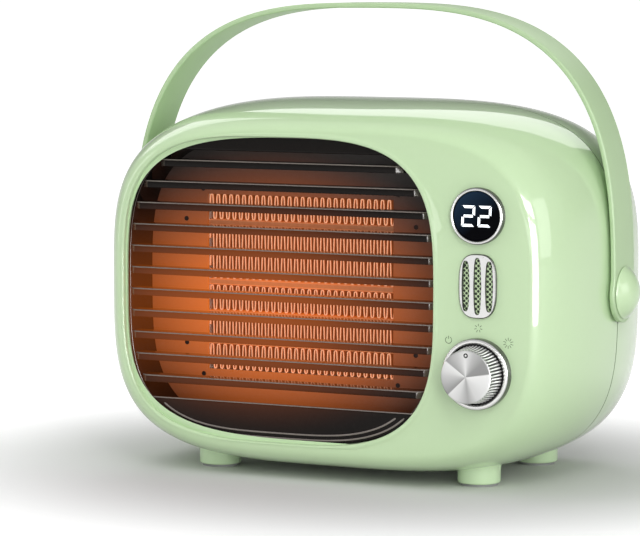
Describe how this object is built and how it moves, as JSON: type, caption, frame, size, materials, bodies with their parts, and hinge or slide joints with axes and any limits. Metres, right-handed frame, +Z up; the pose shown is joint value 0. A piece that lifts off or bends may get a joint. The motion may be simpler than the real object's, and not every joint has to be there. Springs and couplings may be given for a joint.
{
  "type": "ceramic space heater",
  "caption": "Small rounded fan heater with a slatted outlet, a ceramic heating block behind it, a display, a turning knob and a swinging carrying handle.",
  "frame": {"origin": "on the floor under the middle of the whole object", "axes": "+X to the right seen from the front, +Y to the back, +Z up; the outlet faces -Y"},
  "size_m": [0.2782, 0.1484, 0.232],
  "materials": {
    "mint_shell": "glossy mint green",
    "black_grille": "satin black",
    "grey_plate": "dark grey coated sheet",
    "white_frame": "heat-proof moulding",
    "ceramic_stone": "fired ceramic",
    "heater_metal": "plain sheet",
    "steel": "plain",
    "stator_iron": "stacked sheet with windings",
    "bronze": "oiled bush",
    "black_plastic": "moulded",
    "cutout_body": "moulded",
    "board_green": "solder mask",
    "silver_trim": "satin silver",
    "dark_glass": "smoked gloss",
    "green_mesh": "mint green",
    "bright_ring": "polished",
    "spun_knob": "spun face, fluted side",
    "natural_nylon": "moulded",
    "foot_rubber": "grey",
    "filter_cloth": "open mesh",
    "gland_rubber": "black",
    "lead_cover": "glass-sleeved wire"
  },
  "bodies": {
    "body": {"front_housing": "mint_shell", "rear_cover": "mint_shell", "left_pivot_cap": "mint_shell", "right_pivot_cap": "mint_shell", "front_grille": "black_grille", "baffle_plate": "grey_plate", "motor_bracket": "grey_plate", "ptc_frame": "white_frame", "ptc_stones": "ceramic_stone", "heating_fins": "heater_metal", "electrode_plates": "heater_metal", "fin_dividers": "heater_metal", "baffle_screws": "steel", "frame_screws": "steel", "duct_screws": "steel", "bracket_screws": "steel", "motor_screws": "steel", "board_screws": "steel", "housing_screws": "steel", "motor_can": "steel", "motor_end_plate": "steel", "switch_nut": "steel", "motor_stator": "stator_iron", "motor_bushes": "bronze", "air_duct": "black_plastic", "rotary_switch": "black_plastic", "tilt_switch": "black_plastic", "display_module": "black_plastic", "knob_dish": "black_plastic", "room_sensor": "black_plastic", "terminal_block": "black_plastic", "thermal_cutout": "cutout_body", "thermal_fuse": "cutout_body", "control_board": "board_green", "display_bezel": "silver_trim", "vent_trim": "silver_trim", "display_lens": "dark_glass", "vent_mesh": "green_mesh", "knob_ring": "bright_ring", "left_pivot_bush": "natural_nylon", "right_pivot_bush": "natural_nylon", "pivot_washers": "natural_nylon", "foot_pads": "foot_rubber", "dust_filter": "filter_cloth", "cord_gland": "gland_rubber", "heater_leads": "lead_cover", "motor_leads": "lead_cover", "mains_leads": "lead_cover"},
    "carrying_handle": {"handle": "mint_shell"},
    "control_knob": {"knob": "spun_knob", "switch_shaft": "steel"},
    "fan": {"fan_impeller": "black_plastic", "motor_shaft": "steel", "motor_rotor": "stator_iron"}
  },
  "joints": [
    {"name": "handle_swing", "type": "hinge", "parent": "body", "child": "carrying_handle", "pos_m": [0, 0.00775, 0.093], "axis": [1, 0, 0], "range_deg": [-90, 90]},
    {"name": "knob_turn", "type": "hinge", "parent": "body", "child": "control_knob", "pos_m": [0.084, -0.06, 0.0585], "axis": [0, 1, 0], "range_deg": [-45, 45]},
    {"name": "fan_spin", "type": "hinge", "parent": "body", "child": "fan", "pos_m": [-0.0235, 0, 0.093], "axis": [0, -1, 0], "continuous": true}
  ]
}
